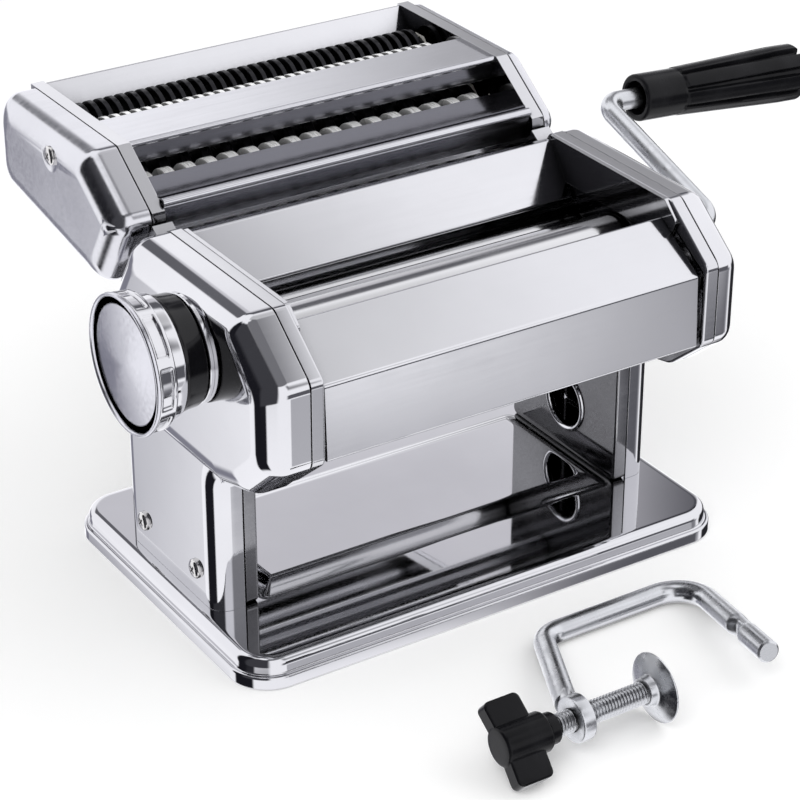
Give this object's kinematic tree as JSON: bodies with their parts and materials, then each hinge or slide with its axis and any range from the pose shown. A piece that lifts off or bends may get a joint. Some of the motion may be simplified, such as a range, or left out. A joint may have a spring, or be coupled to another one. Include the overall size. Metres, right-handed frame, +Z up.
{
  "type": "pasta machine",
  "caption": "Hand cranked pasta machine: two smooth rolls in a bright housing on a tray base, sliding cutter head, bent crank, thickness knob and table clamp.",
  "frame": {"origin": "on the table under the middle of the base tray", "axes": "+X to the crank side, +Y to the back (the side of the cutter head), +Z up"},
  "size_m": [0.3377, 0.2817, 0.1547],
  "materials": {
    "base_screws": "nickel-plated steel",
    "base_tray": "mirror chrome plate",
    "carrier_bars": "zinc-plated sheet steel, satin",
    "carrier_left": "zinc-plated sheet steel, satin",
    "carrier_right": "zinc-plated sheet steel, satin",
    "clamp_frame": "mirror chrome plate",
    "clamp_pad": "mirror chrome plate",
    "clamp_screw": "zinc-plated sheet steel, satin",
    "clamp_wing": "black moulded plastic",
    "cover_screws": "nickel-plated steel",
    "crank_grip": "black moulded plastic",
    "crank_rod": "mirror chrome plate",
    "cutter_back_plate": "mirror chrome plate",
    "cutter_bushes": "white acetal",
    "cutter_cover_left": "mirror chrome plate",
    "cutter_cover_right": "mirror chrome plate",
    "cutter_front_plate": "mirror chrome plate",
    "cutter_middle_plate": "mirror chrome plate",
    "cutter_plate_left": "zinc-plated sheet steel, satin",
    "cutter_plate_right": "zinc-plated sheet steel, satin",
    "cutter_rails": "zinc-plated sheet steel, satin",
    "cutter_rods": "zinc-plated sheet steel, satin",
    "cutter_screws": "nickel-plated steel",
    "drive_gear": "ground and plated steel",
    "drive_roller": "ground and plated steel",
    "feed_plate": "mirror chrome plate",
    "fine_front_comb": "zinc-plated sheet steel, satin",
    "fine_front_gear": "ground and plated steel",
    "fine_front_roller": "pale satin alloy",
    "fine_rear_comb": "zinc-plated sheet steel, satin",
    "fine_rear_gear": "ground and plated steel",
    "fine_rear_roller": "pale satin alloy",
    "frame_plate_left": "zinc-plated sheet steel, satin",
    "frame_plate_right": "zinc-plated sheet steel, satin",
    "front_hood": "mirror chrome plate",
    "front_scraper": "zinc-plated sheet steel, satin",
    "gap_shaft": "zinc-plated sheet steel, satin",
    "grip_retainer": "zinc-plated sheet steel, satin",
    "index_ring": "zinc-plated sheet steel, satin",
    "knob_band": "black moulded plastic",
    "knob_body": "black moulded plastic",
    "knob_cap": "mirror chrome plate",
    "knob_neck": "mirror chrome plate",
    "rear_apron": "zinc-plated sheet steel, satin",
    "rear_gear": "ground and plated steel",
    "rear_roller": "ground and plated steel",
    "rear_scraper": "zinc-plated sheet steel, satin",
    "roller_bushes": "white acetal",
    "rubber_feet": "black rubber",
    "side_cover_left": "mirror chrome plate",
    "side_cover_right": "mirror chrome plate",
    "socket_collar": "nickel-plated steel",
    "tie_nuts": "zinc-plated sheet steel, satin",
    "tie_rods": "zinc-plated sheet steel, satin",
    "wide_front_comb": "zinc-plated sheet steel, satin",
    "wide_front_gear": "ground and plated steel",
    "wide_front_roller": "pale satin alloy",
    "wide_rear_comb": "zinc-plated sheet steel, satin",
    "wide_rear_gear": "ground and plated steel",
    "wide_rear_roller": "pale satin alloy"
  },
  "bodies": {
    "machine": {"base_tray": "base_tray", "rubber_feet": "rubber_feet", "base_screws": "base_screws", "frame_plate_left": "frame_plate_left", "frame_plate_right": "frame_plate_right", "side_cover_left": "side_cover_left", "side_cover_right": "side_cover_right", "cover_screws": "cover_screws", "socket_collar": "socket_collar", "front_hood": "front_hood", "feed_plate": "feed_plate", "rear_apron": "rear_apron", "front_scraper": "front_scraper", "tie_rods": "tie_rods", "tie_nuts": "tie_nuts", "roller_bushes": "roller_bushes", "index_ring": "index_ring", "cutter_rails": "cutter_rails"},
    "drive": {"drive_roller": "drive_roller", "drive_gear": "drive_gear"},
    "carrier": {"carrier_left": "carrier_left", "carrier_right": "carrier_right", "carrier_bars": "carrier_bars", "rear_scraper": "rear_scraper"},
    "rear_roll": {"rear_roller": "rear_roller", "rear_gear": "rear_gear"},
    "gap_setting": {"gap_shaft": "gap_shaft"},
    "gap_knob": {"knob_body": "knob_body", "knob_neck": "knob_neck", "knob_band": "knob_band", "knob_cap": "knob_cap"},
    "crank": {"crank_rod": "crank_rod", "grip_retainer": "grip_retainer"},
    "grip": {"crank_grip": "crank_grip"},
    "cutter_head": {"cutter_plate_left": "cutter_plate_left", "cutter_plate_right": "cutter_plate_right", "cutter_cover_left": "cutter_cover_left", "cutter_cover_right": "cutter_cover_right", "cutter_screws": "cutter_screws", "cutter_rods": "cutter_rods", "cutter_bushes": "cutter_bushes", "cutter_back_plate": "cutter_back_plate", "cutter_middle_plate": "cutter_middle_plate", "cutter_front_plate": "cutter_front_plate", "wide_front_comb": "wide_front_comb", "wide_rear_comb": "wide_rear_comb", "fine_front_comb": "fine_front_comb", "fine_rear_comb": "fine_rear_comb"},
    "wide_front": {"wide_front_roller": "wide_front_roller", "wide_front_gear": "wide_front_gear"},
    "wide_rear": {"wide_rear_roller": "wide_rear_roller", "wide_rear_gear": "wide_rear_gear"},
    "fine_front": {"fine_front_roller": "fine_front_roller", "fine_front_gear": "fine_front_gear"},
    "fine_rear": {"fine_rear_roller": "fine_rear_roller", "fine_rear_gear": "fine_rear_gear"},
    "clamp": {"clamp_frame": "clamp_frame"},
    "clamp_feed": {"clamp_pad": "clamp_pad"},
    "clamp_turn": {"clamp_screw": "clamp_screw", "clamp_wing": "clamp_wing"}
  },
  "joints": [
    {"name": "drive_roller_turn", "type": "hinge", "parent": "machine", "child": "drive", "pos_m": [0, -0.0264, 0.1061], "axis": [1, 0, 0], "continuous": true},
    {"name": "gap_knob_turn", "type": "hinge", "parent": "machine", "child": "gap_setting", "pos_m": [-0.095, -0.0264, 0.1147], "axis": [1, 0, 0], "range_deg": [0, 240.01]},
    {"name": "gap_knob_pull", "type": "slide", "parent": "gap_setting", "child": "gap_knob", "axis": [-1, 0, 0], "range_m": [0, 0.005], "stiffness_N_per_m": 400, "springref_m": -0.004},
    {"name": "rear_roller_shift", "type": "slide", "parent": "machine", "child": "carrier", "axis": [0, 0.9511, -0.309], "range_m": [0, 0.0028]},
    {"name": "rear_roller_turn", "type": "hinge", "parent": "carrier", "child": "rear_roll", "pos_m": [0, 0.00046, 0.09737], "axis": [1, 0, 0], "continuous": true},
    {"name": "crank_pull", "type": "slide", "parent": "drive", "child": "crank", "axis": [1, 0, 0], "range_m": [0, 0.03]},
    {"name": "grip_turn", "type": "hinge", "parent": "crank", "child": "grip", "pos_m": [0.137, 0.0435, 0.12775], "axis": [0.9976, 0, -0.0698], "continuous": true},
    {"name": "cutter_lift", "type": "slide", "parent": "machine", "child": "cutter_head", "axis": [0, -0.5349, 0.8449], "range_m": [0, 0.06]},
    {"name": "wide_front_turn", "type": "hinge", "parent": "cutter_head", "child": "wide_front", "pos_m": [0, 0.0526, 0.1315], "axis": [1, 0, 0], "continuous": true},
    {"name": "wide_rear_turn", "type": "hinge", "parent": "cutter_head", "child": "wide_rear", "pos_m": [0, 0.0691, 0.1315], "axis": [1, 0, 0], "continuous": true},
    {"name": "fine_front_turn", "type": "hinge", "parent": "cutter_head", "child": "fine_front", "pos_m": [0, 0.087, 0.1401], "axis": [1, 0, 0], "continuous": true},
    {"name": "fine_rear_turn", "type": "hinge", "parent": "cutter_head", "child": "fine_rear", "pos_m": [0, 0.1035, 0.1401], "axis": [1, 0, 0], "continuous": true},
    {"name": "clamp_lift", "type": "slide", "parent": "machine", "child": "clamp", "axis": [0, 0, 1], "range_m": [0, 0.05]},
    {"name": "clamp_screw_feed", "type": "slide", "parent": "clamp", "child": "clamp_feed", "axis": [1, 0, 0], "range_m": [-0.015, 0.005]},
    {"name": "clamp_screw_turn", "type": "hinge", "parent": "clamp_feed", "child": "clamp_turn", "pos_m": [-0.02, -0.14844, 0.01258], "axis": [1, 0, 0], "range_deg": [-4321, 1441]}
  ],
  "couplings": [
    {"joint": "rear_roller_turn", "follows": "drive_roller_turn", "ratio": -1},
    {"joint": "gap_knob_turn", "follows": "rear_roller_shift", "rad_per_m": 1496},
    {"joint": "wide_rear_turn", "follows": "wide_front_turn", "ratio": -1},
    {"joint": "fine_rear_turn", "follows": "fine_front_turn", "ratio": -1},
    {"joint": "clamp_screw_turn", "follows": "clamp_screw_feed", "rad_per_m": 5026.5}
  ]
}
